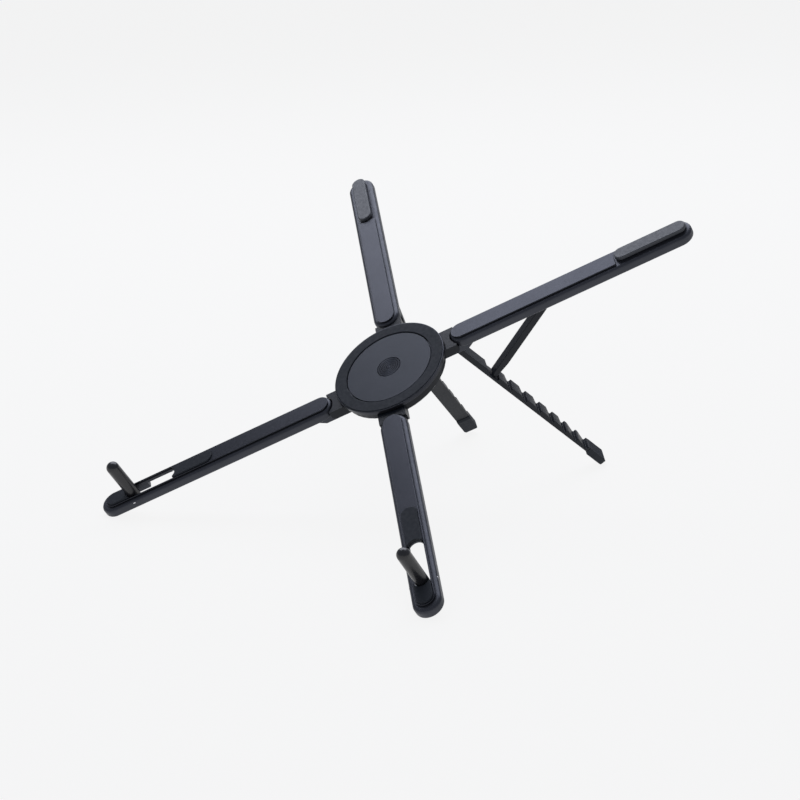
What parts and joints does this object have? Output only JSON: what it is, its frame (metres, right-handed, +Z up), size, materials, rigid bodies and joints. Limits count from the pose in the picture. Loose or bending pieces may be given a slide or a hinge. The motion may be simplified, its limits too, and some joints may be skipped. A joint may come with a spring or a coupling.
{
  "type": "folding laptop stand",
  "caption": "Umbrella-fold laptop stand: round hub, X-shaped folding arms, flip-up pegs in front, notched rail legs with struts behind.",
  "frame": {"origin": "on the table, under the middle of the open stand's bounding box", "axes": "+Z up from the table, +X to the laptop user's right, +Y from the user towards the raised rear edge"},
  "size_m": [0.2316, 0.2154, 0.1404],
  "materials": {
    "graphite_aluminium": "satin anodised graphite",
    "satin_inlay": "fine satin",
    "dark_plastic": "semi-gloss moulded nylon",
    "soft_rubber": "soft matt silicone",
    "polished_steel": "polished pin ends",
    "blackened_steel": "blackened"
  },
  "bodies": {
    "hub": {"hub_body": "dark_plastic", "hub_top_plate": "graphite_aluminium", "hub_ring_pad": "soft_rubber", "hub_inlay_disc": "satin_inlay", "hub_button": "blackened_steel", "hub_bottom_cover": "soft_rubber", "hub_screw_1": "blackened_steel", "hub_screw_2": "blackened_steel", "hub_screw_3": "blackened_steel", "hub_screw_4": "blackened_steel"},
    "front_left_arm_body": {"front_left_arm": "graphite_aluminium", "front_left_arm_pin": "blackened_steel", "front_left_washer_near": "blackened_steel", "front_left_washer_far": "blackened_steel", "front_left_pad_inner": "soft_rubber", "front_left_pad_outer": "soft_rubber", "front_left_foot": "soft_rubber", "front_left_peg_pin": "polished_steel"},
    "front_right_arm_body": {"front_right_arm": "graphite_aluminium", "front_right_arm_pin": "blackened_steel", "front_right_washer_near": "blackened_steel", "front_right_washer_far": "blackened_steel", "front_right_pad_inner": "soft_rubber", "front_right_pad_outer": "soft_rubber", "front_right_foot": "soft_rubber", "front_right_peg_pin": "polished_steel"},
    "rear_left_arm_body": {"rear_left_arm": "graphite_aluminium", "rear_left_arm_pin": "blackened_steel", "rear_left_washer_near": "blackened_steel", "rear_left_washer_far": "blackened_steel", "rear_left_pad": "soft_rubber", "rear_left_strut_pin": "polished_steel"},
    "rear_right_arm_body": {"rear_right_arm": "graphite_aluminium", "rear_right_arm_pin": "blackened_steel", "rear_right_washer_near": "blackened_steel", "rear_right_washer_far": "blackened_steel", "rear_right_pad": "soft_rubber", "rear_right_strut_pin": "polished_steel"},
    "front_left_peg_body": {"front_left_peg": "dark_plastic"},
    "front_right_peg_body": {"front_right_peg": "dark_plastic"},
    "rear_left_rail_body": {"rear_left_rail": "dark_plastic", "rear_left_rail_foot": "soft_rubber"},
    "rear_left_strut_body": {"rear_left_strut": "dark_plastic"},
    "rear_right_rail_body": {"rear_right_rail": "dark_plastic", "rear_right_rail_foot": "soft_rubber"},
    "rear_right_strut_body": {"rear_right_strut": "dark_plastic"}
  },
  "joints": [
    {"name": "front_left_fold", "type": "hinge", "parent": "hub", "child": "front_left_arm_body", "pos_m": [-0.02126, -0.02329, 0.05225], "axis": [0.7114, -0.5827, -0.3928], "range_deg": [0, 90]},
    {"name": "front_right_fold", "type": "hinge", "parent": "hub", "child": "front_right_arm_body", "pos_m": [0.02126, -0.02329, 0.05225], "axis": [0.7114, 0.5827, 0.3928], "range_deg": [0, 90]},
    {"name": "rear_left_fold", "type": "hinge", "parent": "hub", "child": "rear_left_arm_body", "pos_m": [-0.02176, 0.02119, 0.08224], "axis": [-0.7114, -0.5827, -0.3928], "range_deg": [0, 90]},
    {"name": "rear_right_fold", "type": "hinge", "parent": "hub", "child": "rear_right_arm_body", "pos_m": [0.02176, 0.02119, 0.08224], "axis": [-0.7114, 0.5827, 0.3928], "range_deg": [0, 90]},
    {"name": "front_left_peg_flip", "type": "hinge", "parent": "front_left_arm_body", "child": "front_left_peg_body", "pos_m": [-0.10103, -0.09251, 0.01048], "axis": [-0.7114, 0.5827, 0.3928], "range_deg": [0, 90]},
    {"name": "front_right_peg_flip", "type": "hinge", "parent": "front_right_arm_body", "child": "front_right_peg_body", "pos_m": [0.10103, -0.09251, 0.01048], "axis": [-0.7114, -0.5827, -0.3928], "range_deg": [0, 90]},
    {"name": "rear_left_rail_swing", "type": "hinge", "parent": "rear_left_arm_body", "child": "rear_left_rail_body", "pos_m": [-0.02176, 0.02119, 0.08224], "axis": [0.7114, 0.5827, 0.3928], "range_deg": [0, 72.3]},
    {"name": "rear_right_rail_swing", "type": "hinge", "parent": "rear_right_arm_body", "child": "rear_right_rail_body", "pos_m": [0.02176, 0.02119, 0.08224], "axis": [0.7114, -0.5827, -0.3928], "range_deg": [0, 72.3]},
    {"name": "rear_left_strut_swing", "type": "hinge", "parent": "rear_left_arm_body", "child": "rear_left_strut_body", "pos_m": [-0.06013, 0.05139, 0.10695], "axis": [0.7114, 0.5827, 0.3928], "range_deg": [0, 144.6]},
    {"name": "rear_right_strut_swing", "type": "hinge", "parent": "rear_right_arm_body", "child": "rear_right_strut_body", "pos_m": [0.06013, 0.05139, 0.10695], "axis": [0.7114, -0.5827, -0.3928], "range_deg": [0, 144.6]}
  ],
  "couplings": [
    {"joint": "rear_left_strut_swing", "follows": "rear_left_rail_swing", "ratio": 2},
    {"joint": "rear_right_strut_swing", "follows": "rear_right_rail_swing", "ratio": 2}
  ]
}
